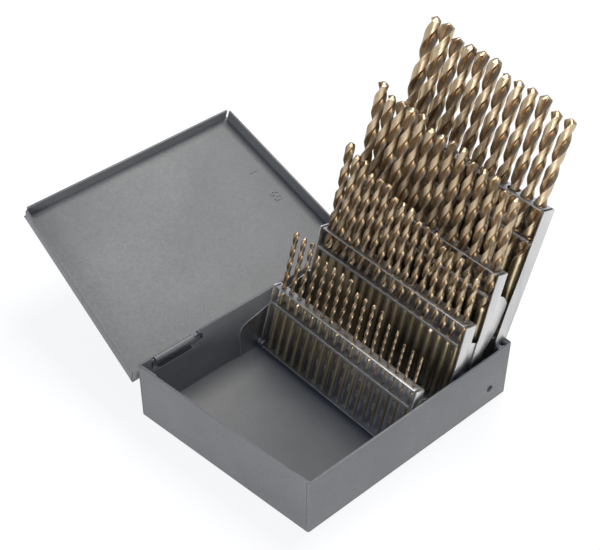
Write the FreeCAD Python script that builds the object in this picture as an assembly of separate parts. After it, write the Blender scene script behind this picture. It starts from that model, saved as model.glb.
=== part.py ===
import FreeCAD, Part
import math
import os

os.makedirs("parts", exist_ok=True)

# Sizes in mm. X runs along the hinge, the lid opens towards +Y, +Z is up.
# The origin is the middle of the underside of the tray.

# Tray, a right trapezoid in plan: its hinge wall is longer than its front wall
HINGE_WALL = 112.6
FRONT_WALL = 103.2
DEPTH = 84.0
TRAY_HEIGHT = 26.8
SHEET = 0.8
BEND_RADIUS = 0.8
HINGE_SIDES = 12
RIVET_SIDES = 8
CORNER_TAB = 8.0
SEAM_WIDTH = 0.15
SEAM_DEPTH = 0.35

# Lid
LID_GAP = 0.3
LID_OVERLAP = 1.3
SKIRT_DEPTH = 5.1
CORNER_SLOT = 1.25
LID_OPEN_ANGLE = 163.2

# Hinge
PIN_OUTSIDE = 0.8
PIN_BELOW_RIM = 3.4
PIN_RADIUS = 0.6
PIN_PLAY = 0.08
EAR_PLAY = 0.02
KNUCKLE_RADIUS = 1.3
KNUCKLE_WIDTH = 18.2
KNUCKLE_INSET = 1.8
EAR_RADIUS = 1.5
HINGE_INSET = 6.5
NOTCH_WIDTH = 22.8
NOTCH_DROP = 7.2
TONGUE_WIDTH = 16.0
TONGUE_INSET = 1.2
TONGUE_REACH = 1.5
PIN_HEAD_RADIUS = 0.75
PIN_HEAD = 0.5

# Side plates and their rivets; places are measured back from the right wall
PLATE = 0.5
PLATE_PLACES = (64.7, 64.1, 62.1, 50.3, 31.1, 15.9, 7.2, 6.1, 2.1, 2.1, 6.3)
PLATE_HEIGHT_SHARES = (0.47, 0.545, 0.608, 0.72, 0.91, 0.948, 0.959, 0.989, 0.989, 0.597, 0.299)
RIVET_PLACE = 9.8
RIVET_HEIGHT_SHARE = 0.317
RIVET_RADIUS = 1.1
RIVET_HEAD_RADIUS = 1.5
RIVET_HEAD = 0.5

# Racks, in rack directions: "back" is across the drills, "up" is along them
RACK_SHEET = 0.5
RACK_SIDE_GAP = 2.2
EAR_GAP = 0.2
STRIP_GAP = 0.3
HOLE_PLAY = 0.15
SHELF_LIP = 1.0
PIVOT_RADIUS = 0.9
PIVOT_PLAY = 0.05
PIVOT_BOSS = 1.7
COLLAR_RADIUS = 1.5
CORNER_CUT = 2.4
RIM_RELIEF = 0.6

# One value for each rack, the front rack with the thinnest drills first.
# Feet are measured back from the right wall, and heights up from the foot.
FIRST_NUMBERS = (44, 27, 13, 1)
LAST_NUMBERS = (60, 43, 26, 12)
LEAN_ANGLES = (15.5, 13.6, 14.0, 18.6)
ROW_MARGINS = (2.3, 2.3, 2.725, 3.4)
FOOT_PLACES = (53.9, 30.25, 18.35, 2.45)
FOOT_HEIGHT_SHARES = (0.097, 0.351, 0.668, 1.067)
FOLDED_HEIGHT_SHARES = (0.1474, 0.3825, 0.6343, 0.918)
FRONT_REACHES = (2.2, 2.8, 2.7, 3.75)
BACK_REACHES = (2.2, 2.75, 2.7, 3.3)
SHELF_REACHES = (2.8, 3.8, 3.7, 4.6)
SHELF_HEIGHTS = (20.5, 29.2, 36.4, 41.1)
TOP_HEIGHTS = (28.5, 37.9, 46.4, 54.7)
PIVOT_HEIGHTS = (0.3, 0.0, -1.2, -4.35)

# Rear ears of the three front racks, which rest in the next rack when folded.
# Corners are shares of the ear's reach and of the rack's top height.
EAR_REACHES = (5.9, 5.75, 6.9)
EAR_SHARES = (
    ((-0.05, 0.14), (0.51, 0.246), (0.915, 0.491), (1, 0.737), (0.88, 0.786), (-0.05, 0.821)),
    ((-0.06, 0.185), (0.39, 0.33), (0.843, 0.501), (1, 0.66), (0.81, 0.726), (-0.06, 0.778)),
    ((-0.045, 0.194), (0.275, 0.237), (0.71, 0.388), (1, 0.603), (1, 0.668), (0.478, 0.744), (-0.045, 0.776)),
)

# Drill bits by number size, from number 1 to number 60: diameters
DIAMETERS = (
    5.791, 5.613, 5.41, 5.309, 5.22, 5.182, 5.105, 5.055, 4.978, 4.915,
    4.851, 4.801, 4.699, 4.623, 4.572, 4.496, 4.394, 4.305, 4.216, 4.089,
    4.039, 3.988, 3.912, 3.861, 3.797, 3.734, 3.658, 3.569, 3.454, 3.264,
    3.048, 2.946, 2.87, 2.819, 2.794, 2.705, 2.642, 2.578, 2.527, 2.489,
    2.438, 2.375, 2.261, 2.184, 2.083, 2.057, 1.994, 1.93, 1.854, 1.778,
    1.702, 1.613, 1.511, 1.397, 1.321, 1.181, 1.092, 1.067, 1.041, 1.016,
)

# Last number of each group of one length, with that length and its flutes' length
GROUP_NUMBERS = (2, 6, 10, 13, 17, 21, 24, 27, 29, 32, 35, 38, 41, 43, 46, 51, 55, 57, 60)
DRILL_LENGTHS = (
    98.425, 95.25, 92.075, 88.9, 85.725, 82.55, 79.375, 76.2, 73.025, 69.85,
    66.675, 63.5, 60.325, 57.15, 53.975, 50.8, 47.625, 44.45, 41.275,
)
FLUTE_LENGTHS = (
    66.675, 63.5, 61.913, 58.738, 55.563, 53.975, 50.8, 47.625, 44.45, 41.275,
    38.1, 36.513, 34.925, 31.75, 28.575, 25.4, 22.225, 19.05, 17.463,
)
FLUTE_PITCH_SHARE = 5.4
STEPS_PER_TURN = 3
LAND_ANGLE = 30.0
GROOVE_SHARE = 0.35
ARC_ANGLES = (180, 255, 330)
POINT_ANGLE = 59.0
SHANK_SIDES = (6, 6, 8, 8)
HOLE_SIDES = (6, 8, 8, 8)

HALF_DEPTH = DEPTH / 2
WALL_IN = HALF_DEPTH - SHEET
RIGHT_X = HINGE_WALL / 2
RACK_HALF = WALL_IN - RACK_SIDE_GAP
EAR_OUTER_HALF = RACK_HALF - RACK_SHEET - EAR_GAP
EAR_INNER_HALF = EAR_OUTER_HALF - RACK_SHEET
INNER_HALF = EAR_INNER_HALF - STRIP_GAP
LEFT_SLOPE = (FRONT_WALL - HINGE_WALL) / DEPTH
LEFT_MIDDLE = RIGHT_X - (FRONT_WALL + HINGE_WALL) / 2
SKIRT_Z = TRAY_HEIGHT - LID_OVERLAP
PANEL_Z = SKIRT_Z + SKIRT_DEPTH
LID_TOP = PANEL_Z + SHEET
PIN_Y = HALF_DEPTH + PIN_OUTSIDE
PIN_Z = TRAY_HEIGHT - PIN_BELOW_RIM
NOTCH_END = RIGHT_X - HINGE_INSET
NOTCH_START = NOTCH_END - NOTCH_WIDTH
NOTCH_FLOOR = TRAY_HEIGHT - NOTCH_DROP
KNUCKLE_END = NOTCH_END - KNUCKLE_INSET
KNUCKLE_START = KNUCKLE_END - KNUCKLE_WIDTH
TONGUE_END = KNUCKLE_END - TONGUE_INSET
TONGUE_START = TONGUE_END - TONGUE_WIDTH
ARC_TURNS = [math.radians(angle) for angle in ARC_ANGLES]
RIVET_X = RIGHT_X - RIVET_PLACE
RIVET_Z = RIVET_HEIGHT_SHARE * TRAY_HEIGHT


def vec(x, y, z):
    return FreeCAD.Vector(x, y, z)


def box(x0, x1, y0, y1, z0, z1):
    return Part.makeBox(x1 - x0, y1 - y0, z1 - z0, vec(x0, y0, z0))


def prism(points, direction):
    return Part.Face(Part.makePolygon(points + points[:1])).extrude(direction)


def plate_xz(points, y0, y1):
    return prism([vec(x, y0, z) for x, z in points], vec(0, y1 - y0, 0))


# Small round parts have flat sides, so that their meshes stay light
def rod(axis, point, radius, length, sides):
    first = vec(axis.y, axis.z, axis.x)
    second = axis.cross(first)
    turns = [math.radians((i + 0.5) * 360 / sides) for i in range(sides)]
    corners = [point + first * (radius * math.cos(t)) + second * (radius * math.sin(t)) for t in turns]
    return prism(corners, axis * length)


# What turns or is turned about is truly round
def round_rod(axis, point, radius, length):
    return Part.makeCylinder(radius, length, point, axis)


# The flats of a bore lie at its radius, so that a rod turns freely in it
def bore(axis, point, radius, length, sides):
    return rod(axis, point, radius / math.cos(math.pi / sides), length, sides)


def export(shape, name):
    shape.exportStep("parts/" + name + ".step")


# Plan of the tray, grown outwards by one distance
def plan(grow, z):
    half = HALF_DEPTH + grow
    shift = LEFT_MIDDLE - grow * math.sqrt(1 + LEFT_SLOPE * LEFT_SLOPE)
    right = RIGHT_X + grow
    back_left = shift + LEFT_SLOPE * half
    front_left = shift - LEFT_SLOPE * half
    return [vec(right, -half, z), vec(right, half, z), vec(back_left, half, z), vec(front_left, -half, z)]


def plan_block(grow, z0, z1):
    return prism(plan(grow, z0), vec(0, 0, z1 - z0))


def both_hands(shape):
    return shape.fuse(shape.mirror(vec(0, 0, 0), vec(1, 0, 0)))


# The side walls are doubled near the corners by tabs folded round from the long walls
def corner_tabs():
    ring = plan_block(-SHEET, SHEET, TRAY_HEIGHT).cut(plan_block(-2 * SHEET, 0, 2 * TRAY_HEIGHT))
    keep = WALL_IN - CORNER_TAB
    ends = ring.cut(box(-HINGE_WALL, HINGE_WALL, -keep, keep, 0, 2 * TRAY_HEIGHT))
    long_walls = box(-HINGE_WALL, HINGE_WALL, -WALL_IN + SHEET, WALL_IN - SHEET, 0, 2 * TRAY_HEIGHT)
    return ends.common(long_walls)


def corner_seams():
    seams = []
    inner = plan(-SEAM_DEPTH, 0)
    outer = plan(SHEET, 0)
    for index in range(len(inner)):
        side = 1 if inner[index].y > 0 else -1
        y0 = side * WALL_IN
        x0 = min(inner[index].x, outer[index].x)
        x1 = max(inner[index].x, outer[index].x)
        seams.append(box(x0, x1, y0 - SEAM_WIDTH / 2, y0 + SEAM_WIDTH / 2, 2 * SHEET, 2 * TRAY_HEIGHT))
    return seams


def hinge_ear(x0):
    disc = rod(vec(1, 0, 0), vec(x0, PIN_Y, PIN_Z), EAR_RADIUS, SHEET, HINGE_SIDES)
    neck = box(x0, x0 + SHEET, WALL_IN, PIN_Y, PIN_Z - EAR_RADIUS, PIN_Z + EAR_RADIUS)
    hole = bore(vec(1, 0, 0), vec(x0 - SHEET, PIN_Y, PIN_Z), PIN_RADIUS + EAR_PLAY, 3 * SHEET, HINGE_SIDES)
    return disc.fuse(neck).cut(hole)


def make_case_base():
    shell = plan_block(0, 0, TRAY_HEIGHT)
    bends = [e for e in shell.Edges if e.BoundBox.ZMax < SHEET]
    shell = shell.makeFillet(BEND_RADIUS, bends)
    shell = shell.cut(plan_block(-SHEET, SHEET, 2 * TRAY_HEIGHT))
    shell = shell.fuse(corner_tabs())
    shell = shell.cut(Part.makeCompound(corner_seams()))
    notch = box(NOTCH_START, NOTCH_END, WALL_IN - SHEET, DEPTH, NOTCH_FLOOR, 2 * TRAY_HEIGHT)
    shell = shell.cut(both_hands(notch))
    reach = HALF_DEPTH + TONGUE_REACH
    tongue = box(TONGUE_START, TONGUE_END, WALL_IN, reach, NOTCH_FLOOR - SHEET, NOTCH_FLOOR)
    fittings = tongue.fuse([hinge_ear(NOTCH_START - SHEET), hinge_ear(NOTCH_END)])
    shell = shell.fuse(both_hands(fittings))
    return shell.cut(Part.makeCompound(wall_rivet_holes())).removeSplitter()


# The lid is drawn closed and then turned back about its pins
def make_lid():
    shell = plan_block(LID_GAP + SHEET, SKIRT_Z, LID_TOP)
    rim = [e for e in shell.Edges if e.BoundBox.ZMax > LID_TOP - SHEET and e.BoundBox.ZMin > LID_TOP - SHEET]
    shell = shell.makeFillet(BEND_RADIUS, rim)
    shell = shell.cut(plan_block(LID_GAP, 0, PANEL_Z))
    for corner in plan(LID_GAP + SHEET, 0):
        x0 = corner.x - CORNER_SLOT
        y0 = corner.y - CORNER_SLOT
        slot = box(x0, x0 + 2 * CORNER_SLOT, y0, y0 + 2 * CORNER_SLOT, 0, PANEL_Z)
        shell = shell.cut(slot)
    width = KNUCKLE_END - KNUCKLE_START
    knuckle = rod(vec(1, 0, 0), vec(KNUCKLE_START, PIN_Y, PIN_Z), KNUCKLE_RADIUS, width, HINGE_SIDES)
    skirt_y = HALF_DEPTH + LID_GAP
    tab = box(KNUCKLE_START, KNUCKLE_END, skirt_y, skirt_y + SHEET, PIN_Z, SKIRT_Z + SHEET)
    hole = bore(vec(1, 0, 0), vec(0, PIN_Y, PIN_Z), PIN_RADIUS + PIN_PLAY, HINGE_WALL, HINGE_SIDES)
    shell = shell.fuse(both_hands(knuckle.fuse(tab).cut(hole)))
    shell = shell.removeSplitter()
    shell.rotate(vec(0, PIN_Y, PIN_Z), vec(1, 0, 0), -LID_OPEN_ANGLE)
    return shell


def make_hinge_pin(side):
    start = NOTCH_START - SHEET
    end = NOTCH_END + SHEET
    along = vec(1, 0, 0)
    pin = round_rod(along, vec(start, PIN_Y, PIN_Z), PIN_RADIUS, end - start)
    head = rod(along, vec(start - PIN_HEAD, PIN_Y, PIN_Z), PIN_HEAD_RADIUS, PIN_HEAD, HINGE_SIDES)
    tail = rod(along, vec(end, PIN_Y, PIN_Z), PIN_HEAD_RADIUS, PIN_HEAD, HINGE_SIDES)
    pin = pin.fuse([head, tail])
    return pin if side > 0 else pin.mirror(vec(0, 0, 0), along)


def foot(rack):
    return RIGHT_X - FOOT_PLACES[rack], FOOT_HEIGHT_SHARES[rack] * TRAY_HEIGHT


# The pivot sits so that the folded rack lies flat at its own height
def pivot_back(rack):
    lean = math.radians(LEAN_ANGLES[rack])
    folded = FOLDED_HEIGHT_SHARES[rack] * TRAY_HEIGHT
    return (foot(rack)[1] + PIVOT_HEIGHTS[rack] * math.cos(lean) - folded) / (1 + math.sin(lean))


def pivot_xz(rack):
    lean = math.radians(LEAN_ANGLES[rack])
    back = pivot_back(rack)
    up = PIVOT_HEIGHTS[rack]
    x, z = foot(rack)
    x += back * math.cos(lean) + up * math.sin(lean)
    z += up * math.cos(lean) - back * math.sin(lean)
    return x, z


def stand_up(shape, rack):
    x, z = foot(rack)
    shape.rotate(vec(0, 0, 0), vec(0, 1, 0), LEAN_ANGLES[rack])
    shape.translate(vec(x, 0, z))
    return shape


def wall_rivet_holes():
    along = vec(0, 1, 0)
    start = -HALF_DEPTH - SHEET
    return [bore(along, vec(RIVET_X, start, RIVET_Z), RIVET_RADIUS, DEPTH + 2 * SHEET, RIVET_SIDES)]


def make_bracket(side):
    top = [(RIGHT_X - x, z * TRAY_HEIGHT) for x, z in zip(PLATE_PLACES, PLATE_HEIGHT_SHARES)]
    points = [(top[0][0], SHEET)] + top + [(top[-1][0], SHEET)]
    plate = plate_xz(points, WALL_IN - PLATE, WALL_IN)
    holes = wall_rivet_holes()
    for rack in range(len(FOOT_PLACES)):
        x, z = pivot_xz(rack)
        axis = vec(0, 1, 0)
        holes.append(bore(axis, vec(x, 0, z), PIVOT_RADIUS + EAR_PLAY, HALF_DEPTH, RIVET_SIDES))
    plate = plate.cut(Part.makeCompound(holes))
    return plate if side > 0 else plate.mirror(vec(0, 0, 0), vec(0, 1, 0))


def make_bracket_rivets():
    start = WALL_IN - PLATE - PLATE
    length = HALF_DEPTH + RIVET_HEAD - start
    along = vec(0, 1, 0)
    radius = RIVET_RADIUS - EAR_PLAY
    shank = rod(along, vec(RIVET_X, start, RIVET_Z), radius, length, RIVET_SIDES)
    head_place = vec(RIVET_X, HALF_DEPTH, RIVET_Z)
    head = rod(along, head_place, RIVET_HEAD_RADIUS, RIVET_HEAD, RIVET_SIDES)
    tail = rod(along, vec(RIVET_X, start, RIVET_Z), RIVET_HEAD_RADIUS, PLATE, RIVET_SIDES)
    rivet = shank.fuse([head, tail])
    return Part.makeCompound([rivet, rivet.mirror(vec(0, 0, 0), along)])


# Side cheek of a rack, truly round about its pivot at the foot
def make_cheek(rack, y0, y1):
    front = FRONT_REACHES[rack]
    rear = BACK_REACHES[rack]
    top = TOP_HEIGHTS[rack]
    low = PIVOT_HEIGHTS[rack]
    middle = pivot_back(rack)
    shoulder = min(low, 0) + CORNER_CUT + PIVOT_BOSS
    arc = [vec(middle + PIVOT_BOSS * math.cos(t), y0, low + PIVOT_BOSS * math.sin(t)) for t in ARC_TURNS]
    corners = [(rear, -RACK_SHEET), (rear, top), (-front, top), (-front, shoulder)]
    # A rack that leans on the tray's rim has its cheeks cut back from the wall
    if low < -RACK_SHEET - PIVOT_BOSS:
        relief = middle + PIVOT_BOSS - RIM_RELIEF
        corners = [(relief, -CORNER_CUT), (relief, -RACK_SHEET - RACK_SHEET)] + corners
    path = [arc[-1]] + [vec(x, y0, z) for x, z in corners] + [arc[0]]
    edges = Part.makePolygon(path).Edges + [Part.Arc(*arc).toShape()]
    return Part.Face(Part.Wire(edges)).extrude(vec(0, y1 - y0, 0))


def drill_places(rack):
    numbers = range(FIRST_NUMBERS[rack], LAST_NUMBERS[rack] + 1)
    half = INNER_HALF - ROW_MARGINS[rack]
    pitch = 2 * half / (len(numbers) - 1)
    return [(number, half - i * pitch) for i, number in enumerate(numbers)]


def ring_corners(radius, y, up, sides):
    turns = [math.radians((i + 0.5) * 360 / sides) for i in range(sides)]
    return [vec(radius * math.cos(t), y + radius * math.sin(t), up) for t in turns]


def drill_holes(rack, low, high):
    holes = []
    sides = HOLE_SIDES[rack]
    for number, y in drill_places(rack):
        radius = (DIAMETERS[number - 1] / 2 + HOLE_PLAY) / math.cos(math.pi / sides)
        holes.append(prism(ring_corners(radius, y, low, sides), vec(0, 0, high - low)))
    return Part.makeCompound(holes)


def make_ear(rack, y0, y1):
    rear = BACK_REACHES[rack]
    reach = EAR_REACHES[rack]
    top = TOP_HEIGHTS[rack]
    return plate_xz([(rear + back * reach, up * top) for back, up in EAR_SHARES[rack]], y0, y1)


def make_channel(rack):
    front = FRONT_REACHES[rack]
    rear = BACK_REACHES[rack]
    top = TOP_HEIGHTS[rack]
    plate = box(rear - RACK_SHEET, rear, -RACK_HALF, RACK_HALF, -RACK_SHEET, top)
    ledge = box(-front, rear, -INNER_HALF, INNER_HALF, -RACK_SHEET, 0)
    flange = box(-front, rear, -INNER_HALF, INNER_HALF, top - RACK_SHEET, top)
    flange = flange.cut(drill_holes(rack, top - 2 * RACK_SHEET, top + RACK_SHEET))
    pieces = [ledge, flange]
    start = vec(pivot_back(rack), -DEPTH, PIVOT_HEIGHTS[rack])
    hole = bore(vec(0, 1, 0), start, PIVOT_RADIUS + PIVOT_PLAY, 2 * DEPTH, RIVET_SIDES)
    for side in (1, -1):
        cheek = make_cheek(rack, side * (RACK_HALF - RACK_SHEET), side * RACK_HALF)
        pieces.append(cheek.cut(hole))
        if rack < len(EAR_REACHES):
            pieces.append(make_ear(rack, side * EAR_INNER_HALF, side * EAR_OUTER_HALF))
    channel = plate.fuse(pieces).removeSplitter()
    return stand_up(channel, rack)


def make_shelf(rack):
    reach = SHELF_REACHES[rack]
    low = SHELF_HEIGHTS[rack]
    inner = BACK_REACHES[rack] - RACK_SHEET
    strip = box(-reach, inner, -INNER_HALF, INNER_HALF, low, low + RACK_SHEET)
    strip = strip.cut(drill_holes(rack, low - RACK_SHEET, low + 2 * RACK_SHEET))
    lip = box(-reach, RACK_SHEET / 2 - reach, -INNER_HALF, INNER_HALF, low, low + SHELF_LIP)
    return stand_up(strip.fuse(lip).removeSplitter(), rack)


def make_pivots(rack):
    x, z = pivot_xz(rack)
    inner = RACK_HALF - RACK_SHEET
    face = RACK_HALF + PIVOT_PLAY
    axis = vec(0, 1, 0)
    shank = rod(axis, vec(x, inner, z), PIVOT_RADIUS, WALL_IN - inner, RIVET_SIDES)
    collar = rod(axis, vec(x, face, z), COLLAR_RADIUS, WALL_IN - PLATE - face, RIVET_SIDES)
    rivet = shank.fuse(collar)
    return Part.makeCompound([rivet, rivet.mirror(vec(0, 0, 0), axis)])


def around(radius, angle, y, up):
    turn = math.radians(angle)
    return vec(radius * math.cos(turn), y + radius * math.sin(turn), up)


def drill_lengths(number):
    for last, length, flute in zip(GROUP_NUMBERS, DRILL_LENGTHS, FLUTE_LENGTHS):
        if number <= last:
            return length, flute


# Twist drill: round shank, two twisted flutes and a cone point, foot at height zero
def make_drill(number, y, sides):
    radius = DIAMETERS[number - 1] / 2
    length, flute = drill_lengths(number)
    point = radius / math.tan(math.radians(POINT_ANGLE))
    start = length - flute
    pitch = FLUTE_PITCH_SHARE * 2 * radius
    first = start + radius
    span = length - point - first
    steps = max(1, round(STEPS_PER_TURN * span / pitch))
    low = ring_corners(radius, y, 0, sides)
    high = ring_corners(radius, y, start, sides)
    rise = span / steps
    twist = 360 * rise / pitch
    corners = (LAND_ANGLE, 180 - LAND_ANGLE, 180 + LAND_ANGLE, 360 - LAND_ANGLE)
    rings = []
    grooves = []
    for step in range(steps + 1):
        up = first + rise * step
        rings.append([around(radius, corner + twist * step, y, up) for corner in corners])
        turn = twist * (step + 0.5)
        depth = GROOVE_SHARE * radius
        grooves.append([around(depth, side + turn, y, up + rise / 2) for side in (90, -90)])
    faces = [low[::-1]]
    for i in range(sides):
        j = (i + 1) % sides
        faces.append([low[i], low[j], high[j], high[i]])
    # The shank's corners are joined to the first ring's in the order of their angles
    side = 360 / sides
    i = 0
    for corner in range(4):
        here = rings[0][corner]
        after = rings[0][(corner + 1) % 4]
        onward = corners[(corner + 1) % 4] + 360 * ((corner + 1) // 4)
        while i < sides and side * (i + 1.5) <= onward:
            faces.append([high[i], high[(i + 1) % sides], here])
            i += 1
        faces.append([high[i % sides], after, here])
    # Each flute sinks to a point halfway between two rings, and each land is one bent strip
    for below, above, sunk in zip(rings, rings[1:], grooves):
        for i, deep in zip((0, 2), sunk):
            j = i + 1
            k = (i + 2) % 4
            faces.append([below[i], below[j], deep])
            faces.append([below[j], above[j], deep])
            faces.append([above[j], above[i], deep])
            faces.append([above[i], below[i], deep])
            faces.append([below[j], below[k], above[j]])
            faces.append([below[k], above[k], above[j]])
    tip = vec(0, y, length)
    for i in range(4):
        faces.append([rings[-1][i], rings[-1][(i + 1) % 4], tip])
    shell = Part.Shell([Part.Face(Part.makePolygon(f + f[:1])) for f in faces])
    shell.sewShape()
    solid = Part.Solid(shell)
    if solid.Volume < 0:
        solid.reverse()
    return solid


def make_drills():
    groups = {}
    for rack in range(len(FOOT_PLACES)):
        for number, y in drill_places(rack):
            key = (rack, drill_lengths(number))
            drill = stand_up(make_drill(number, y, SHANK_SIDES[rack]), rack)
            groups.setdefault(key, []).append((number, drill))
    for members in groups.values():
        numbers = [number for number, solid in members]
        name = "drills_%02d_%02d" % (min(numbers), max(numbers))
        export(Part.makeCompound([solid for number, solid in members]), name)


export(make_case_base(), "case_base")
export(make_lid(), "lid")
export(make_hinge_pin(-1), "hinge_pin_left")
export(make_hinge_pin(1), "hinge_pin_right")
export(make_bracket(-1), "bracket_front")
export(make_bracket(1), "bracket_back")
export(make_bracket_rivets(), "bracket_rivets")
for place in range(len(FOOT_PLACES)):
    export(make_channel(place), "rack_%d_channel" % (place + 1))
    export(make_shelf(place), "rack_%d_shelf" % (place + 1))
    export(make_pivots(place), "rack_%d_pivots" % (place + 1))
make_drills()
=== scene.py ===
import bpy
import bmesh
import math
import random
from mathutils import Matrix, Vector


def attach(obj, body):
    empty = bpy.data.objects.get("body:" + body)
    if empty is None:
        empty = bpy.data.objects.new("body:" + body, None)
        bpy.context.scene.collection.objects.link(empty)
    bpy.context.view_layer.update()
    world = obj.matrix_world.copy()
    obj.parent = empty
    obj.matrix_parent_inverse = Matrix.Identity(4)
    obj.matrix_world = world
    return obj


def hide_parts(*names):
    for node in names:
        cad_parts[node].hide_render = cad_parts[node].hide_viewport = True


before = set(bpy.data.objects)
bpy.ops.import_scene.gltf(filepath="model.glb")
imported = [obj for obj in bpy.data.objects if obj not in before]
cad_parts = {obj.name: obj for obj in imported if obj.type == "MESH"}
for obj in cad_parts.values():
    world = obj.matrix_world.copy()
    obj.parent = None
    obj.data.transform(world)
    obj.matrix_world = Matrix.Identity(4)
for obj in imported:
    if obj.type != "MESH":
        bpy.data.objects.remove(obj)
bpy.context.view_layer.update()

MM = 0.001

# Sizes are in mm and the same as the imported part's. X runs along the hinge,
# the lid opens towards +Y, and +Z is up from the tray's underside.
HINGE_WALL, FRONT_WALL, DEPTH, HEIGHT = 112.6, 103.2, 84.0, 26.8
SHEET, THIN = 0.8, 0.5
HALF_DEPTH = DEPTH / 2
RIGHT_X = HINGE_WALL / 2
SLOPE = (FRONT_WALL - HINGE_WALL) / DEPTH
LEFT_MIDDLE = RIGHT_X - (FRONT_WALL + HINGE_WALL) / 2

# How round the sheets' edges and folds are, with the segments of each fold
FOLD, FOLD_SEGMENTS = 0.9, 4
RACK_FOLD, RACK_FOLD_SEGMENTS = 0.45, 3
CASE_EDGE, EDGE, TONGUE_EDGE, FLANGE_EDGE, LIP_EDGE = 0.14, 0.12, 0.2, 0.1, 0.08
SHARP_ANGLE = 35.0
CORNER_STEPS, CORNER_SHARE = 4, 0.45
NEAR, BARELY = 0.1, 0.01
BEYOND = 60.0

# Corners closer than this are one after a cut, and faces this flat are one
CUT_MERGE, CUT_FLAT, NUMBER_MERGE = 0.0005, 0.002, 0.0001

# Sides of round pieces, and the angles, in degrees, under which they look smooth
ROUND_SIDES, HOLE_SIDES, PIN_SIDES = 32, 28, 24
SHEET_SMOOTH, PIN_SMOOTH, TWIST_SMOOTH, RIVET_SMOOTH = 24, 30, 34, 40

# Tray: corner seams, corner tabs, hinge cut-outs, tongues and ears
SEAM_PLACE, SEAM_HALF, SEAM_DEPTH, SEAM_OUT, SEAM_LOW = 1.05, 0.1, 0.4, 2.0, 1.6
TAB, TAB_SHEET, TAB_SKEW, TAB_DROP = 8.0, 0.7, 0.3, 0.35
NOTCH_ENDS, NOTCH_START, NOTCH_FLOOR = (27.0, 49.8), 40.0, 19.6
TONGUE_ENDS, TONGUE_REACH, TONGUE_LOW = (30.8, 46.8), (41.3, 43.5), 18.8
EAR_PLACES, EAR_RADIUS, EAR_ROOT = (26.2, 49.8), 1.5, 41.2

# Lid and hinge
LID_GAP, SKIRT_Z, PANEL_Z, LID_TOP, LID_ANGLE = 0.3, 25.5, 30.6, 31.4, 163.2
CORNER_SLOT = 1.25
PIN_Y, PIN_Z, PIN_ENDS = 42.8, 23.4, (26.2, 50.6)
PIN_HEAD_RINGS = ((-0.5, 0.7), (-0.35, 1.0), (0, 1.0), (0, 0.6))
KNUCKLE_ENDS, KNUCKLE_SEAM = (29.8, 48.0), (42.3, 43.1)
KNUCKLE_RINGS = ((0, 1.1), (0.15, 1.3), (18.05, 1.3), (18.2, 1.1))
LID_NUMBERS, LID_NUMBERS_SIZE, LID_NUMBERS_RISE = "1       60", 5.6, 0.3
LID_NUMBERS_PLACE, LID_NUMBERS_SUNK = (47.5, -4.0), 0.02

# Side plates and their rivets
PLATE_FACES = (40.7, 41.2)
PLATE_ENDS = (-8.4, 50.0)
PLATE_PLACES = (64.7, 64.1, 62.1, 50.3, 31.1, 15.9, 7.2, 6.1, 2.1, 2.1, 6.3)
PLATE_SHARES = (0.47, 0.545, 0.608, 0.72, 0.91, 0.948, 0.959, 0.989, 0.989, 0.597, 0.299)
PLATE_CORNER = 3.0
RIVET = (46.5, 8.4956)
RIVET_RINGS = (
    (-2.0, 1.2), (-1.3, 1.5), (-0.8, 1.08), (0.0, 1.08),
    (0.0, 1.5), (0.22, 1.38), (0.4, 1.0), (0.5, 0.45),
)

# Racks: first and last drill, pitch, foot x and z, lean, front and back reach,
# shelf reach, shelf height, top height, pivot height, drill line when folded
RACKS = (
    (44, 60, 4.4, 2.4, 2.5996, 15.5, 2.2, 2.2, 2.8, 20.5, 28.5, 0.3, 3.95032),
    (27, 43, 4.4, 26.05, 9.4068, 13.6, 2.8, 2.75, 3.8, 29.2, 37.9, 0.0, 10.251),
    (13, 26, 5.35, 37.95, 17.9024, 14.0, 2.7, 2.7, 3.7, 36.4, 46.4, -1.2, 16.99924),
    (1, 12, 6.2, 53.85, 28.5956, 18.6, 3.75, 3.3, 4.6, 41.1, 54.7, -4.35, 24.6024),
)
RACK_HALF, STRIP_HALF = 39.0, 37.5
CHEEK_HEEL, PIVOT_BOSS, BOSS_ANGLES = 4.1, 1.7, range(180, 331, 15)
LOW_PIVOT, RELIEF_REACH, RELIEF_ENDS = -2.2, 1.1, (-2.4, -1.0)
HOLE_PLAY = 0.15
SHELF_LIP, LIP_ENDS = 0.25, (0.1, 1.0)
EAR_FACES, EAR_CORNER = (37.8, 38.3), 1.5
EAR_REACHES = (5.9, 5.75, 6.9)
EAR_SHARES = (
    ((-0.05, 0.14), (0.51, 0.246), (0.915, 0.491), (1, 0.737), (0.88, 0.786), (-0.05, 0.821)),
    ((-0.06, 0.185), (0.39, 0.33), (0.843, 0.501), (1, 0.66), (0.81, 0.726), (-0.06, 0.778)),
    (
        (-0.045, 0.194), (0.275, 0.237), (0.71, 0.388), (1, 0.603),
        (1, 0.668), (0.478, 0.744), (-0.045, 0.776),
    ),
)
PIVOT_PLACE = 38.5
PIVOT_RINGS = (
    (-0.55, 0.5), (-0.45, 1.0), (-0.05, 1.25), (-0.05, 0.9), (0.5, 0.9),
    (0.55, 1.5), (1.7, 1.5), (1.7, 0.9), (2.2, 0.9),
)

# Raised numbers on the racks: largest size, share of the pitch and rise
NUMBER_SIZE, NUMBER_SHARE, NUMBER_RISE, TOP_NUMBER_RISE = 2.5, 0.5, 0.2, 0.22
NUMBER_GROWTH, NUMBER_HEIGHT_SHARE, LOW_HEIGHT_SHARE = 1.15, 0.72, 0.38
MM_PER_INCH = 25.4

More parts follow.
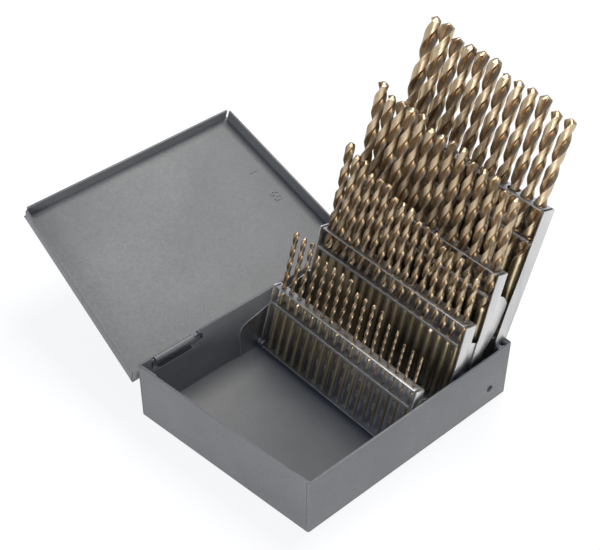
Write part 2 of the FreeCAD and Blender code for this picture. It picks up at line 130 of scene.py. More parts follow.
# Drills by number size, from number 1 to number 60
DIAMETERS = (
    5.791, 5.613, 5.41, 5.309, 5.22, 5.182, 5.105, 5.055, 4.978, 4.915,
    4.851, 4.801, 4.699, 4.623, 4.572, 4.496, 4.394, 4.305, 4.216, 4.089,
    4.039, 3.988, 3.912, 3.861, 3.797, 3.734, 3.658, 3.569, 3.454, 3.264,
    3.048, 2.946, 2.87, 2.819, 2.794, 2.705, 2.642, 2.578, 2.527, 2.489,
    2.438, 2.375, 2.261, 2.184, 2.083, 2.057, 1.994, 1.93, 1.854, 1.778,
    1.702, 1.613, 1.511, 1.397, 1.321, 1.181, 1.092, 1.067, 1.041, 1.016,
)
# Last number of each group of one length, with that length and its flutes' length
GROUP_NUMBERS = (2, 6, 10, 13, 17, 21, 24, 27, 29, 32, 35, 38, 41, 43, 46, 51, 55, 57, 60)
DRILL_LENGTHS = (
    98.425, 95.25, 92.075, 88.9, 85.725, 82.55, 79.375, 76.2, 73.025, 69.85,
    66.675, 63.5, 60.325, 57.15, 53.975, 50.8, 47.625, 44.45, 41.275,
)
FLUTE_LENGTHS = (
    66.675, 63.5, 61.913, 58.738, 55.563, 53.975, 50.8, 47.625, 44.45, 41.275,
    38.1, 36.513, 34.925, 31.75, 28.575, 25.4, 22.225, 19.05, 17.463,
)
FLUTE_PITCH, POINT_ANGLE, FADE_REACH = 5.4, 59.0, 2.6
MARGIN_END, LAND_END, HALF_TURN = 12, 84, 180
LAND_REACH, GROOVE_DEPTH, GROOVE_SKEW, GROOVE_FULLNESS = 0.955, 0.66, 0.85, 0.9
FOOT_SHARE, FOOT_HEIGHT, RUNOUT, TIP_SHARE = 0.82, 0.18, 0.4, 0.45
GROOVE_CONTRAST, CONE_GROOVES = 1.5, (0.35, 0.1)
FIRST_THIN, FEWEST_RINGS = 44, 8
THICK_MESH, THIN_MESH = (32, 20), (24, 14)  # corners of a section, rings in a turn
RANDOM_SEED = 7

# Lamps (place, target, size, power, colour) and the camera
KEY = (0.50, 0.16, 0.95), (0.0, 0.06, 0.03), (0.55, 0.55), 6.0, (1.0, 0.975, 0.92)
FILL = (-0.85, -0.62, 0.22), (0.0, 0.0, 0.02), (0.6, 0.25), 3.6, (0.99, 0.995, 1.0)
SKY = (
    (0.0, (1.0, 1.0, 1.0)), (0.07, (0.93, 0.94, 0.96)),
    (0.2, (0.29, 0.33, 0.42)), (0.8, (0.13, 0.16, 0.25)),
)
FLOOR_HALF, FLOOR_Z, FLOOR_GLOW = 3, -0.00003, 0.86
SENSOR, LENS, CLIP_START, CLIP_END = 36.0, 79.5, 0.05, 20.0
CAMERA_PLACE = (-0.2430, -0.2526, 0.3757)
CAMERA_TARGET = (0.0233, 0.0407, 0.0253)
CAMERA_ROLL = 0.0083


# Shader nodes
def is_socket(value):
    return isinstance(value, bpy.types.NodeSocket)


def set_input(tree, socket, value):
    if is_socket(value):
        tree.links.new(value, socket)
    else:
        socket.default_value = value


def node(tree, kind, values=None, **settings):
    made = tree.nodes.new("ShaderNode" + kind)
    for key, value in settings.items():
        setattr(made, key, value)
    for key, value in (values or {}).items():
        set_input(tree, made.inputs[key], value)
    return made


def opaque(colour):
    return (*colour, 1.0)


def ramp(tree, factor, stops):
    made = node(tree, "ValToRGB", {"Fac": factor})
    points = made.color_ramp.elements
    while len(points) < len(stops):
        points.new(0.5)
    for point, (place, colour) in zip(points, stops):
        point.position = place
        point.color = opaque(colour)
    return made.outputs["Color"]


def tones(tree, factor, dark, light):
    """From dark to light over the middle of a noise's range."""
    return ramp(tree, factor, ((0.3, dark), (0.7, light)))


def noise(tree, coords, scale, detail=3.0, rough=0.5):
    values = {"Vector": coords, "Scale": scale, "Detail": detail, "Roughness": rough}
    return node(tree, "TexNoise", values).outputs["Fac"]


def mix(tree, factor, a, b, blend="MIX"):
    made = node(tree, "Mix", data_type="RGBA", blend_type=blend)
    for index, value in ((0, factor), (6, a), (7, b)):
        set_input(tree, made.inputs[index], value)
    return made.outputs[2]


def maths(tree, operation, a, b=0.0):
    return node(tree, "Math", {0: a, 1: b}, operation=operation).outputs[0]


def between(tree, value, low, high):
    values = {"Value": value, "To Min": low, "To Max": high}
    return node(tree, "MapRange", values).outputs["Result"]


def bump(tree, height, distance, strength=1.0):
    values = {"Height": height, "Distance": distance, "Strength": strength}
    return node(tree, "Bump", values).outputs["Normal"]


def attribute(tree, name):
    return node(tree, "Attribute", attribute_name=name).outputs["Fac"]


def empty_tree(name):
    made = bpy.data.materials.new(name)
    made.use_nodes = True
    made.node_tree.nodes.clear()
    return made, made.node_tree


def new_material(name):
    made, tree = empty_tree(name)
    surface = node(tree, "BsdfPrincipled")
    node(tree, "OutputMaterial", {"Surface": surface.outputs["BSDF"]})
    coords = node(tree, "TexCoord").outputs["Object"]
    return made, tree, surface, coords


def feed(tree, surface, **values):
    for key, value in values.items():
        set_input(tree, surface.inputs[key.replace("_", " ")], value)


def enamel(name):
    made, tree, surface, coords = new_material(name)
    broad = noise(tree, coords, 28.0, 5.0, 0.6)
    fine = noise(tree, coords, 2600.0, 2.0, 0.7)
    pits = noise(tree, coords, 700.0, 3.0, 0.6)
    base = tones(tree, broad, (0.205, 0.207, 0.205), (0.255, 0.256, 0.25))
    speck = tones(tree, fine, (0.82, 0.82, 0.84), (1.16, 1.16, 1.14))
    colour = mix(tree, 1.0, base, speck, "MULTIPLY")
    # Outer edges turned a paler grey where pits fall: partly real wear of the enamel, partly a painted
    # highlight along the rims.
    wear_and_highlight = maths(tree, "MULTIPLY", attribute(tree, "edge"), pits)
    colour = mix(tree, wear_and_highlight, colour, opaque((0.33, 0.33, 0.325)))
    rough = between(tree, pits, 0.38, 0.56)
    height = maths(tree, "ADD", fine, maths(tree, "MULTIPLY", pits, 1.5))
    normal = bump(tree, height, 0.00002, 0.5)
    feed(tree, surface, Base_Color=colour, Roughness=rough, Normal=normal, Metallic=0.12, IOR=1.5)
    return made


def zinc(name, dark, light, rough_low, rough_high):
    made, tree, surface, coords = new_material(name)
    stretch = node(tree, "Mapping", {"Vector": coords, "Scale": (1.0, 1.0, 0.25)})
    broad = noise(tree, stretch.outputs["Vector"], 90.0, 4.0, 0.55)
    spangle = noise(tree, coords, 900.0, 2.0, 0.6)
    colour = tones(tree, broad, dark, light)
    # Outer edges and lips mixed towards near white: a painted highlight along the sheet's edges.
    wear_and_highlight = maths(tree, "MULTIPLY", attribute(tree, "edge"), 0.9)
    colour = mix(tree, wear_and_highlight, colour, opaque((0.96, 0.95, 0.93)))
    rough = between(tree, spangle, rough_low, rough_high)
    normal = bump(tree, maths(tree, "ADD", spangle, broad), 0.00005, 0.35)
    feed(tree, surface, Base_Color=colour, Roughness=rough, Normal=normal, Metallic=1.0)
    return made


def bronze(name):
    made, tree, surface, coords = new_material(name)
    groove = attribute(tree, "groove")
    shank = attribute(tree, "shank")
    tone = attribute(tree, "tone")
    grind = noise(tree, coords, 1500.0, 3.0, 0.6)
    broad = noise(tree, coords, 160.0, 3.0, 0.5)
    land = tones(tree, broad, (0.50, 0.385, 0.245), (0.64, 0.52, 0.365))
    # Flutes painted a dark brown by the groove value: painted shade in the flute hollows.
    flute_painted_shade = tones(tree, grind, (0.20, 0.115, 0.05), (0.36, 0.23, 0.11))
    twist = mix(tree, groove, land, flute_painted_shade)
    rod = tones(tree, broad, (0.47, 0.375, 0.22), (0.62, 0.52, 0.345))
    colour = mix(tree, shank, twist, rod)
    shade = ramp(tree, tone, ((0.0, (0.84, 0.82, 0.80)), (1.0, (1.08, 1.07, 1.05))))
    colour = mix(tree, 1.0, colour, shade, "MULTIPLY")
    rough = between(tree, grind, 0.24, 0.42)
    normal = bump(tree, grind, 0.00003, 0.4)
    feed(tree, surface, Base_Color=colour, Roughness=rough, Normal=normal, Metallic=0.92)
    return made


def dark_steel(name, dark, light, metallic):
    made, tree, surface, coords = new_material(name)
    broad = noise(tree, coords, 500.0, 4.0, 0.6)
    colour = tones(tree, broad, dark, light)
    rough = between(tree, broad, 0.3, 0.5)
    normal = bump(tree, broad, 0.00003, 0.4)
    feed(tree, surface, Base_Color=colour, Roughness=rough, Metallic=metallic, Normal=normal)
    return made


ENAMEL = enamel("grey_enamel")
ZINC = zinc("zinc_sheet", (0.50, 0.505, 0.51), (0.76, 0.75, 0.73), 0.30, 0.46)
# A paler copy of the zinc for the raised rack numbers: a painted highlight on them.
LIT_NUMBER_ZINC = zinc("number_zinc_painted_highlight", (0.80, 0.80, 0.79), (0.95, 0.945, 0.93), 0.38, 0.52)
STEEL = dark_steel("plain_steel", (0.10, 0.11, 0.14), (0.24, 0.25, 0.28), 0.9)
# Near-black steel for the wall rivets: painted shade where the real rivets show a shaded hollow.
RIVET_SHADE_STEEL = dark_steel("rivet_steel_painted_shade", (0.020, 0.024, 0.045), (0.055, 0.060, 0.095), 0.4)
BRONZE = bronze("bronze_drill")


# A shape is (points, faces), in mm
def prism(points, direction):
    count = len(points)
    low = [Vector(p) for p in points]
    high = [p + direction for p in low]
    faces = [tuple(range(count)), tuple(range(count, 2 * count))]
    faces += [(i, (i + 1) % count, count + (i + 1) % count, count + i) for i in range(count)]
    return low + high, faces


def block(x0, x1, y0, y1, z0, z1):
    return prism([(x0, y0, z0), (x1, y0, z0), (x1, y1, z0), (x0, y1, z0)], Vector((0, 0, z1 - z0)))


def plate_xz(points, y0, y1):
    return prism([(x, y0, z) for x, z in points], Vector((0, y1 - y0, 0)))


def skin_faces(first, last, sides):
    """Quads between the rings that follow each other."""
    made = []
    for ring in range(first, last):
        for i in range(sides):
            a, b = ring * sides + i, ring * sides + (i + 1) % sides
            made.append((a, b, b + sides, a + sides))
    return made


def turned(axis, place, rings, sides=ROUND_SIDES):
    """Rings of (distance along the axis, radius) about a line."""
    axis, place = Vector(axis), Vector(place)
    first = axis.orthogonal().normalized()
    second = axis.cross(first)
    points = []
    for along, radius in rings:
        for i in range(sides):
            turn = 2 * math.pi * i / sides
            out = first * radius * math.cos(turn)
            points.append(place + axis * along + out + second * radius * math.sin(turn))
    ends = [tuple(range(sides)), tuple(range(len(points) - sides, len(points)))]
    return points, skin_faces(0, len(rings) - 1, sides) + ends


def joined(*shapes):
    points, faces = [], []
    for more, sides in shapes:
        start = len(points)
        points += list(more)
        faces += [tuple(start + i for i in face) for face in sides]
    return points, faces


def placed(shape, matrix):
    return [matrix @ Vector(p) for p in shape[0]], shape[1]


def both_hands(shape):
    """A shape and its mirror image in X."""
    return joined(shape, ([Vector((-p[0], p[1], p[2])) for p in shape[0]], shape[1]))


def to_bmesh(shape):
    made = bmesh.new()
    corners = [made.verts.new(p) for p in shape[0]]
    for face in shape[1]:
        made.faces.new([corners[i] for i in face])
    bmesh.ops.recalc_face_normals(made, faces=made.faces)
    return made


def from_bmesh(made):
    made.verts.index_update()
    shape = [v.co.copy() for v in made.verts], [tuple(v.index for v in f.verts) for f in made.faces]
    made.free()
    return shape


def link(name, data):
    obj = bpy.data.objects.new(name, data)
    bpy.context.scene.collection.objects.link(obj)
    return obj


def temporary(shape):
    made = to_bmesh(shape)
    mesh = bpy.data.meshes.new("work")
    made.to_mesh(mesh)
    made.free()
    return link("work", mesh)


def evaluated_mesh(obj):
    view = bpy.context.evaluated_depsgraph_get()
    return bpy.data.meshes.new_from_object(obj.evaluated_get(view))


def boolean(shape, other, operation="DIFFERENCE"):
    base, tool = temporary(shape), temporary(other)
    change = base.modifiers.new("cut", "BOOLEAN")
    change.operation, change.solver, change.object = operation, "EXACT", tool
    mesh = evaluated_mesh(base)
    made = bmesh.new()
    made.from_mesh(mesh)
    bmesh.ops.remove_doubles(made, verts=made.verts, dist=CUT_MERGE)
    bmesh.ops.dissolve_limit(made, angle_limit=CUT_FLAT, verts=made.verts, edges=made.edges)
    for obj in (base, tool):
        old = obj.data
        bpy.data.objects.remove(obj)
        bpy.data.meshes.remove(old)
    bpy.data.meshes.remove(mesh)
    return from_bmesh(made)


def rounded(shape, width, segments=2, test=None):
    """Sharp edges rounded off, or those of them that pass the test."""
    made = to_bmesh(shape)
    edges = []
    for edge in made.edges:
        if len(edge.link_faces) == 2 and edge.calc_face_angle(0) > math.radians(SHARP_ANGLE):
            if test is None or test(edge.verts[0].co, edge.verts[1].co):
                edges.append(edge)
    bmesh.ops.bevel(
        made, geom=edges, offset=width, segments=segments,
        profile=0.5, affect="EDGES", clamp_overlap=True,
    )
    return from_bmesh(made)


def edge_faces(made):
    """One on the narrow faces of outer edges, where the finish wears first and where a highlight is
    painted.
    """
    widest, least_bend = 0.3, 0.1
    wear_and_highlight = []
    for face in made.faces:
        sides = sorted(face.edges, key=lambda edge: edge.calc_length())[-2:]
        narrow = face.calc_area() / sides[-1].calc_length() < widest
        bends = [edge.calc_face_angle_signed(0) for edge in sides]
        wear_and_highlight.append(1.0 if narrow and min(bends) > least_bend else 0.0)
    return wear_and_highlight


def add_values(mesh, name, domain, numbers):
    mesh.attributes.new(name, "FLOAT", domain).data.foreach_set("value", numbers)


def build(name, shape, material, body, nodes, smooth=None, values=None):
    made = to_bmesh(shape)
    wear_and_highlight = edge_faces(made) if values is None else None
    bmesh.ops.scale(made, vec=(MM, MM, MM), verts=made.verts)
    mesh = bpy.data.meshes.new(name)
    made.to_mesh(mesh)
    made.free()
    if wear_and_highlight:
        add_values(mesh, "edge", "FACE", wear_and_highlight)
    for key, numbers in (values or {}).items():
        add_values(mesh, key, "POINT", numbers)
    if smooth:
        mesh.shade_smooth()
        mesh.set_sharp_from_angle(angle=math.radians(smooth))
    mesh.materials.append(material)
    obj = link(name, mesh)
    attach(obj, body)
    if nodes:
        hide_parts(*nodes)


# The tray
def left_x(grow, y):
    return LEFT_MIDDLE - grow * math.sqrt(1 + SLOPE * SLOPE) + SLOPE * y


def plan(grow, z):
    half = HALF_DEPTH + grow
    right = RIGHT_X + grow
    far_left, near_left = left_x(grow, half), left_x(grow, -half)
    return [(right, -half, z), (right, half, z), (far_left, half, z), (near_left, -half, z)]


def plan_block(grow, z0, z1):
    return prism(plan(grow, z0), Vector((0, 0, z1 - z0)))


def tray_fold(a, b):
    """Whether an edge lies along the floor or up a corner."""
    return (a.z < NEAR and b.z < NEAR) or abs(a.z - b.z) > HEIGHT / 2


def corner_tab(x, side, inward):
    """The tab inside a corner; x gives the wall's inner face for a y."""
    near, far = side * (HALF_DEPTH - SHEET), side * (HALF_DEPTH - SHEET - TAB)
    flap = [
        (x(near), near), (x(far), far),
        (x(far) + inward * TAB_SHEET, far + side * TAB_SKEW), (x(near) + inward * TAB_SHEET, near),
    ]
    return prism([(x, y, SHEET) for x, y in flap], Vector((0, 0, HEIGHT - SHEET - TAB_DROP)))


def hinge_ear(x):
    outline = []
    for step in range(-6, 7):
        turn = step * math.pi / 12
        outline.append((PIN_Y + EAR_RADIUS * math.cos(turn), PIN_Z + EAR_RADIUS * math.sin(turn)))
    outline += [(EAR_ROOT, PIN_Z + EAR_RADIUS), (EAR_ROOT, PIN_Z - EAR_RADIUS)]
    return rounded(prism([(x, y, z) for y, z in outline], Vector((SHEET, 0, 0))), EDGE)


def make_tray():
    shell = rounded(plan_block(0, 0, HEIGHT), FOLD, FOLD_SEGMENTS, tray_fold)
    shell = boolean(shell, plan_block(-SHEET, SHEET, 2 * HEIGHT))
    cuts = [both_hands(block(*NOTCH_ENDS, NOTCH_START, BEYOND, NOTCH_FLOOR, BEYOND))]
    for side in (-1, 1):
        y = side * (HALF_DEPTH - SEAM_PLACE)
        low, high = y - SEAM_HALF, y + SEAM_HALF
        cuts.append(block(RIGHT_X - SEAM_DEPTH, RIGHT_X + SEAM_OUT, low, high, SEAM_LOW, BEYOND))
        x = left_x(0, y)
        cuts.append(block(x - SEAM_OUT, x + SEAM_DEPTH, low, high, SEAM_LOW, BEYOND))
    shell = rounded(boolean(shell, joined(*cuts)), CASE_EDGE)
    tabs = []
    for side in (-1, 1):
        tabs.append(corner_tab(lambda y: RIGHT_X - SHEET, side, -1))
        tabs.append(corner_tab(lambda y: left_x(-SHEET, y), side, 1))
    tabs = rounded(joined(*tabs), EDGE)
    tongue = rounded(block(*TONGUE_ENDS, *TONGUE_REACH, TONGUE_LOW, NOTCH_FLOOR), TONGUE_EDGE)
    ears = [hinge_ear(x) for x in EAR_PLACES]
    return joined(shell, tabs, both_hands(joined(tongue, *ears)))


build("tray_shell", make_tray(), ENAMEL, "tray", ["case_base"], smooth=SHEET_SMOOTH)


# The lid, drawn shut and turned back about its pins
def turn_back():
    pin = Vector((0, PIN_Y, PIN_Z))
    turn = Matrix.Rotation(math.radians(-LID_ANGLE), 4, "X")
    return Matrix.Translation(pin) @ turn @ Matrix.Translation(-pin)


def lid_fold(a, b):
    return a.z > LID_TOP - NEAR and b.z > LID_TOP - NEAR


def make_lid():
    shell = rounded(plan_block(LID_GAP + SHEET, SKIRT_Z, LID_TOP), FOLD, FOLD_SEGMENTS, lid_fold)
    shell = boolean(shell, plan_block(LID_GAP, 0, PANEL_Z))
    cuts = []
    for x, y, z in plan(LID_GAP + SHEET, 0):
        cuts.append(block(x - CORNER_SLOT, x + CORNER_SLOT, y - CORNER_SLOT, y + CORNER_SLOT, 0, PANEL_Z))
    shell = rounded(boolean(shell, joined(*cuts)), CASE_EDGE)
    knuckle = turned((1, 0, 0), (KNUCKLE_ENDS[0], PIN_Y, PIN_Z), KNUCKLE_RINGS)
    seam = rounded(block(*KNUCKLE_ENDS, *KNUCKLE_SEAM, PIN_Z, SKIRT_Z + SHEET), EDGE)
    return joined(shell, both_hands(joined(knuckle, seam)))


def digits(text, size, depth, matrix):
    """Generic plain numbers as a raised shape; its X runs along the matrix's X."""
    curve = bpy.data.curves.new("digits", "FONT")
    curve.body, curve.size, curve.extrude = text, size, depth
    curve.align_x, curve.align_y = "CENTER", "CENTER"
    curve.resolution_u = 2
    obj = link("digits", curve)
    mesh = evaluated_mesh(obj)
    made = bmesh.new()
    made.from_mesh(mesh)
    bmesh.ops.remove_doubles(made, verts=made.verts, dist=NUMBER_MERGE)
    shape = from_bmesh(made)
    bpy.data.objects.remove(obj)
    bpy.data.curves.remove(curve)
    bpy.data.meshes.remove(mesh)
    return placed(shape, matrix)


lid = placed(make_lid(), turn_back())
build("lid_shell", lid, ENAMEL, "lid", ["lid"], smooth=SHEET_SMOOTH)

# Raised plain numbers inside the lid
facing_down = Matrix(((0, 1, 0, 0), (1, 0, 0, 0), (0, 0, -1, 0), (0, 0, 0, 1)))
numbers_place = Matrix.Translation((*LID_NUMBERS_PLACE, PANEL_Z + LID_NUMBERS_SUNK))
on_panel = turn_back() @ numbers_place @ facing_down
lid_numbers = digits(LID_NUMBERS, LID_NUMBERS_SIZE, LID_NUMBERS_RISE, on_panel)
build("lid_numbers", lid_numbers, ENAMEL, "lid", [])


# Hinge pins
for side, name in ((-1, "left"), (1, "right")):
    start, end = sorted(side * place for place in PIN_ENDS)
    far_head = tuple((end - start - along, radius) for along, radius in reversed(PIN_HEAD_RINGS))
    pin = turned((1, 0, 0), (start, PIN_Y, PIN_Z), PIN_HEAD_RINGS + far_head, PIN_SIDES)
    build("pin_" + name, pin, STEEL, "tray", ["hinge_pin_" + name], smooth=PIN_SMOOTH)


# Side plates, each an outline with soft corners
def smooth_outline(points, radius):
    """Corners of a closed outline rounded off, apart from the first and the last."""
    made = []
    count = len(points)
    for i in range(1, count - 1):
        before, here, after = (Vector(points[i + k]) for k in (-1, 0, 1))
        first, second = before - here, after - here
        reach = min(radius, first.length * CORNER_SHARE, second.length * CORNER_SHARE)
        a, b = here + first.normalized() * reach, here + second.normalized() * reach
        for step in range(CORNER_STEPS):
            t = step / (CORNER_STEPS - 1)
            made.append(tuple(a * (1 - t) ** 2 + here * 2 * t * (1 - t) + b * t * t))
    return [points[0]] + made + [points[-1]]


plate_top = [(RIGHT_X - place, share * HEIGHT) for place, share in zip(PLATE_PLACES, PLATE_SHARES)]
plate_corners = [(PLATE_ENDS[0], SHEET)] + plate_top + [(PLATE_ENDS[1], SHEET)]
for side, name in ((-1, "front"), (1, "back")):
    outline = smooth_outline(plate_corners, PLATE_CORNER)
    plate = rounded(plate_xz(outline, side * PLATE_FACES[0], side * PLATE_FACES[1]), EDGE)
    build("plate_" + name, plate, ZINC, "tray", ["bracket_" + name])

rivets = joined(*[
    turned((0, side, 0), (RIVET[0], side * HALF_DEPTH, RIVET[1]), RIVET_RINGS)
    for side in (-1, 1)
])
build("wall_rivets", rivets, RIVET_SHADE_STEEL, "tray", ["bracket_rivets"], smooth=RIVET_SMOOTH)


# Racks
def stand(rack):
    lean = Matrix.Rotation(math.radians(rack[5]), 4, "Y")
    return Matrix.Translation((rack[3], 0, rack[4])) @ lean


def pivot_back(rack):
    lean = math.radians(rack[5])
    return (rack[4] + rack[11] * math.cos(lean) - rack[12]) / (1 + math.sin(lean))


def drill_places(rack):
    count = rack[1] - rack[0] + 1
    return [(rack[0] + i, rack[2] * ((count - 1) / 2 - i)) for i in range(count)]


def drill_holes(rack, low, high):
    holes = []
    for number, y in drill_places(rack):
        radius = DIAMETERS[number - 1] / 2 + HOLE_PLAY
        holes.append(turned((0, 0, 1), (0, y, low), ((0, radius), (high - low, radius)), HOLE_SIDES))
    return joined(*holes)


def cheek_outline(rack):
    front, rear, top, low = rack[6], rack[7], rack[10], rack[11]
    middle = pivot_back(rack)
    points = [(rear, top), (-front, top), (-front, min(low, 0) + CHEEK_HEEL)]
    for angle in BOSS_ANGLES:
        turn = math.radians(angle)
        points.append((middle + PIVOT_BOSS * math.cos(turn), low + PIVOT_BOSS * math.sin(turn)))
    if low < LOW_PIVOT:
        points += [(middle + RELIEF_REACH, height) for height in RELIEF_ENDS]
    points.append((rear, -THIN))
    return points


def make_channel(index):
    rack = RACKS[index]
    front, rear, top = rack[6], rack[7], rack[10]
    inner = rear - THIN
    body = block(inner, rear, -RACK_HALF, RACK_HALF, -THIN, top)
    for side in (-1, 1):
        cheek = plate_xz(cheek_outline(rack), side * (RACK_HALF - THIN), side * RACK_HALF)
        body = boolean(body, cheek, "UNION")

    def corner(a, b):
        return all(p.x > rear - BARELY and abs(p.y) > RACK_HALF - BARELY for p in (a, b))

    def front_or_back(a, b):
        return abs(a.x) > inner - BARELY or a.x < BARELY - front

    body = rounded(rounded(body, RACK_FOLD, RACK_FOLD_SEGMENTS, corner), EDGE)
    flange = block(-front, inner, -STRIP_HALF, STRIP_HALF, top - THIN, top)
    flange = boolean(flange, drill_holes(rack, top - 2 * THIN, top + THIN))
    flange = rounded(flange, FLANGE_EDGE, 2, front_or_back)
    ledge = rounded(block(-front, inner, -STRIP_HALF, STRIP_HALF, -THIN, 0), EDGE)
    pieces = [body, flange, ledge]
    if index < len(EAR_SHARES):
        reach = EAR_REACHES[index]
        corners = [(rear + back * reach, up * top) for back, up in EAR_SHARES[index]]
        outline = smooth_outline(corners, EAR_CORNER)
        for side in (-1, 1):
            ear = plate_xz(outline, side * EAR_FACES[0], side * EAR_FACES[1])
            pieces.append(rounded(ear, EDGE))
    return joined(*pieces)


def plate_numbers(rack):
    """Each drill's number and thousandths of an inch, beside it on the back plate."""
    face, shelf = rack[7] - THIN, rack[9]
    size = min(NUMBER_SIZE, rack[2] * NUMBER_SHARE)
    raised = []
    for number, y in drill_places(rack):
        beside = y - rack[2] / 2
        turn = Matrix(((0, 0, -1, face), (0, 1, 0, beside), (1, 0, 0, 0), (0, 0, 0, 1)))
        thousandths = "%03d" % round(DIAMETERS[number - 1] * 1000 / MM_PER_INCH)
        for text, grow, rise, height in (
            (thousandths, 1, TOP_NUMBER_RISE, (shelf + rack[10]) / 2),
            ("%d" % number, NUMBER_GROWTH, NUMBER_RISE, shelf * NUMBER_HEIGHT_SHARE),
            (thousandths, 1, NUMBER_RISE, shelf * LOW_HEIGHT_SHARE),
        ):
            raised.append(digits(text, size * grow, rise, Matrix.Translation((0, 0, height)) @ turn))
    return joined(*raised)


def make_shelf(rack):
    reach, low, inner = rack[8], rack[9], rack[7] - THIN
    strip = block(-reach, inner, -STRIP_HALF, STRIP_HALF, low, low + THIN)
    strip = boolean(strip, drill_holes(rack, low - THIN, low + 2 * THIN))
    bottom, top = (low + height for height in LIP_ENDS)
    lip = block(-reach, SHELF_LIP - reach, -STRIP_HALF, STRIP_HALF, bottom, top)
    return joined(strip, rounded(lip, LIP_EDGE))


def drill_lengths(number):
    for last, length, flute in zip(GROUP_NUMBERS, DRILL_LENGTHS, FLUTE_LENGTHS):
        if number <= last:
            return length, flute


def drill_section(sides):
    """Angle and reach of each corner: margin, land and groove, twice around."""
    section = []
    for i in range(sides):
        turn = (360 * i / sides) % HALF_TURN
        if turn <= MARGIN_END:
            reach = 1.0
        elif turn <= LAND_END:
            reach = LAND_REACH
        else:
            t = (turn - LAND_END) / (HALF_TURN - LAND_END)
            reach = LAND_REACH - GROOVE_DEPTH * math.sin(math.pi * t ** GROOVE_SKEW) ** GROOVE_FULLNESS
        section.append((math.radians(360 * i / sides), reach))
    return section


def make_drill(number, y, tone, turn0):
    """A twist drill's shape, and its groove, shank and tone value at each point."""
    radius = DIAMETERS[number - 1] / 2
    length, flute = drill_lengths(number)
    start = length - flute
    pitch = FLUTE_PITCH * 2 * radius
    slope = 1 / math.tan(math.radians(POINT_ANGLE))
    sides, per_turn = THICK_MESH if number < FIRST_THIN else THIN_MESH
    section = drill_section(sides)
    points, groove, shank = [], [], []

    def ring(height, scale, depth, grooves, is_shank, cone=False):
        turn = 2 * math.pi * max(0.0, height - start) / pitch + turn0
        for angle, reach in section:
            r = radius * scale * (1 - (1 - reach) * depth)
            up = min(height, length - r * slope) if cone else height
            extra = 2 * math.pi * (up - height) / pitch
            around = angle + turn + extra
            points.append(Vector((r * math.cos(around), y + r * math.sin(around), up)))
            # The groove value drives the painted shade in the flutes.
            groove.append(min(1.0, (1 - reach) * GROOVE_CONTRAST) * grooves)
            shank.append(is_shank)

    ring(0.0, FOOT_SHARE, 0, 0, 1.0)
    for height in (radius * FOOT_HEIGHT, start - radius * RUNOUT, start):
        ring(height, 1.0, 0, 0, 1.0)
    steps = max(FEWEST_RINGS, int(per_turn * flute / pitch))
    top = length - radius * slope
    for step in range(1, steps + 1):
        height = start + (top - start) * step / steps
        depth = min(1.0, (height - start) / (FADE_REACH * radius))
        depth = depth * depth * (3 - 2 * depth)
        ring(height, 1.0, depth, depth, 1.0 - min(1.0, (height - start) / radius))
    for scale, grooves in zip((1.0, TIP_SHARE), CONE_GROOVES):
        ring(length, scale, 1.0, grooves, 0.0, cone=True)
    last = len(points) // sides - 1
    tip = len(points)
    points.append(Vector((0, y, length)))
    groove.append(0.0)
    shank.append(0.0)
    faces = skin_faces(0, last, sides) + [tuple(range(sides))]
    faces += [(last * sides + i, last * sides + (i + 1) % sides, tip) for i in range(sides)]
    return (points, faces), groove, shank, [tone] * len(points)


random.seed(RANDOM_SEED)
for index, rack in enumerate(RACKS):
    number = index + 1
    body = "rack_%d" % number
    pose = stand(rack)
    channel = placed(make_channel(index), pose)
    nodes = [body + "_channel"]
    build("channel_%d" % number, channel, ZINC, body, nodes, smooth=SHEET_SMOOTH)
    raised = placed(plate_numbers(rack), pose)
    build("numbers_%d" % number, raised, LIT_NUMBER_ZINC, body, [])
    shelf = placed(make_shelf(rack), pose)
    build("shelf_%d" % number, shelf, ZINC, body, [body + "_shelf"])
    groups = {}
    for drill, y in drill_places(rack):
        groups.setdefault(drill_lengths(drill), []).append((drill, y))
    for members in groups.values():
        shapes, values = [], {"groove": [], "shank": [], "tone": []}
        for drill, y in members:
            made = make_drill(drill, y, random.random(), random.uniform(0, math.pi))
            shapes.append(made[0])
            for key, numbers in zip(values, made[1:]):
                values[key] += numbers
        name = "%02d_%02d" % (members[0][0], members[-1][0])
        twists = placed(joined(*shapes), pose)
        nodes = ["drills_" + name]
        build("twist_" + name, twists, BRONZE, body, nodes, TWIST_SMOOTH, values)
    middle = pose @ Vector((pivot_back(rack), 0, rack[11]))
    pivots = joined(*[
        turned((0, side, 0), (middle.x, side * PIVOT_PLACE, middle.z), PIVOT_RINGS, PIN_SIDES)
        for side in (-1, 1)
    ])
    nodes = [body + "_pivots"]
    build("pivots_%d" % number, pivots, ZINC, "tray", nodes, smooth=RIVET_SMOOTH)


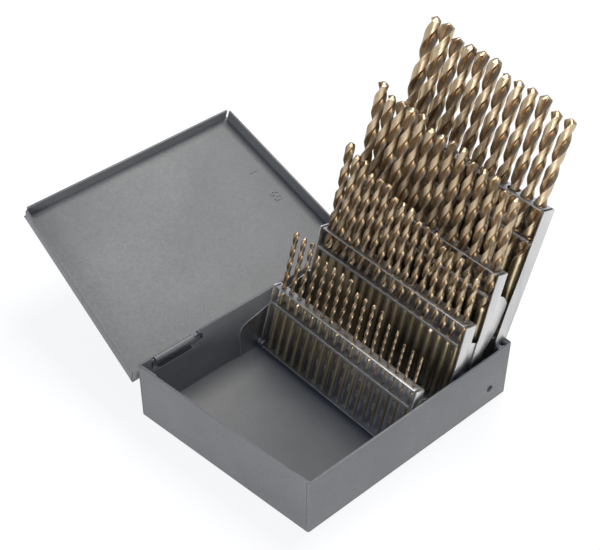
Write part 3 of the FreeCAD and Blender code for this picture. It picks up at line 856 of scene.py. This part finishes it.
# Floor, light and camera
def floor_material():
    made, tree = empty_tree("floor_white")
    paper = noise(tree, node(tree, "TexCoord").outputs["Object"], 300.0, 2.0)
    colour = tones(tree, paper, (0.87, 0.87, 0.87), (0.90, 0.90, 0.90))
    matt = node(tree, "BsdfDiffuse", {"Color": colour}).outputs[0]
    dim = node(tree, "BsdfDiffuse", {"Color": opaque((0.25, 0.25, 0.25))}).outputs[0]
    glow = node(tree, "Emission", {"Color": opaque((1, 1, 1)), "Strength": FLOOR_GLOW}).outputs[0]
    shown = node(tree, "AddShader", {0: dim, 1: glow}).outputs[0]
    path = node(tree, "LightPath")
    seen = maths(tree, "MAXIMUM", path.outputs["Is Camera Ray"], path.outputs["Is Glossy Ray"])
    seen = maths(tree, "MAXIMUM", seen, path.outputs["Is Transmission Ray"])
    both = node(tree, "MixShader", {0: seen, 1: matt, 2: shown}).outputs[0]
    node(tree, "OutputMaterial", {"Surface": both})
    return made


floor_mesh = bpy.data.meshes.new("floor")
floor_corners = [
    (x * FLOOR_HALF, y * FLOOR_HALF, FLOOR_Z) for x, y in ((-1, -1), (1, -1), (1, 1), (-1, 1))
]
floor_mesh.from_pydata(floor_corners, [], [(0, 1, 2, 3)])
floor = link("floor", floor_mesh)
floor_mesh.materials.append(floor_material())

world = bpy.data.worlds.new("studio")
bpy.context.scene.world = world
world.use_nodes = True
world_tree = world.node_tree
world_tree.nodes.clear()
direction = node(world_tree, "TexCoord").outputs["Generated"]
height = node(world_tree, "SeparateXYZ", {"Vector": direction}).outputs["Z"]
sky = ramp(world_tree, height, SKY)
shine = node(world_tree, "Background", {"Color": sky, "Strength": 1.0}).outputs[0]
node(world_tree, "OutputWorld", {"Surface": shine})


def look_from(obj, place, target, roll=0.0):
    obj.location = place
    aim = (Vector(target) - Vector(place)).to_track_quat("-Z", "Y")
    obj.rotation_mode = "QUATERNION"
    obj.rotation_quaternion = aim @ Matrix.Rotation(roll, 3, "Z").to_quaternion()


def softbox(name, place, target, size, power, colour):
    lamp = bpy.data.lights.new(name, "AREA")
    lamp.shape, lamp.size, lamp.size_y = "RECTANGLE", size[0], size[1]
    lamp.energy, lamp.color = power, colour
    look_from(link(name, lamp), place, target)


softbox("key", *KEY)
softbox("fill", *FILL)

camera = bpy.data.cameras.new("camera")
camera.sensor_width, camera.lens = SENSOR, LENS
camera.clip_start, camera.clip_end = CLIP_START, CLIP_END
eye = link("camera", camera)
look_from(eye, CAMERA_PLACE, CAMERA_TARGET, CAMERA_ROLL)
bpy.context.scene.camera = eye

bpy.context.scene.view_settings.view_transform = "Standard"
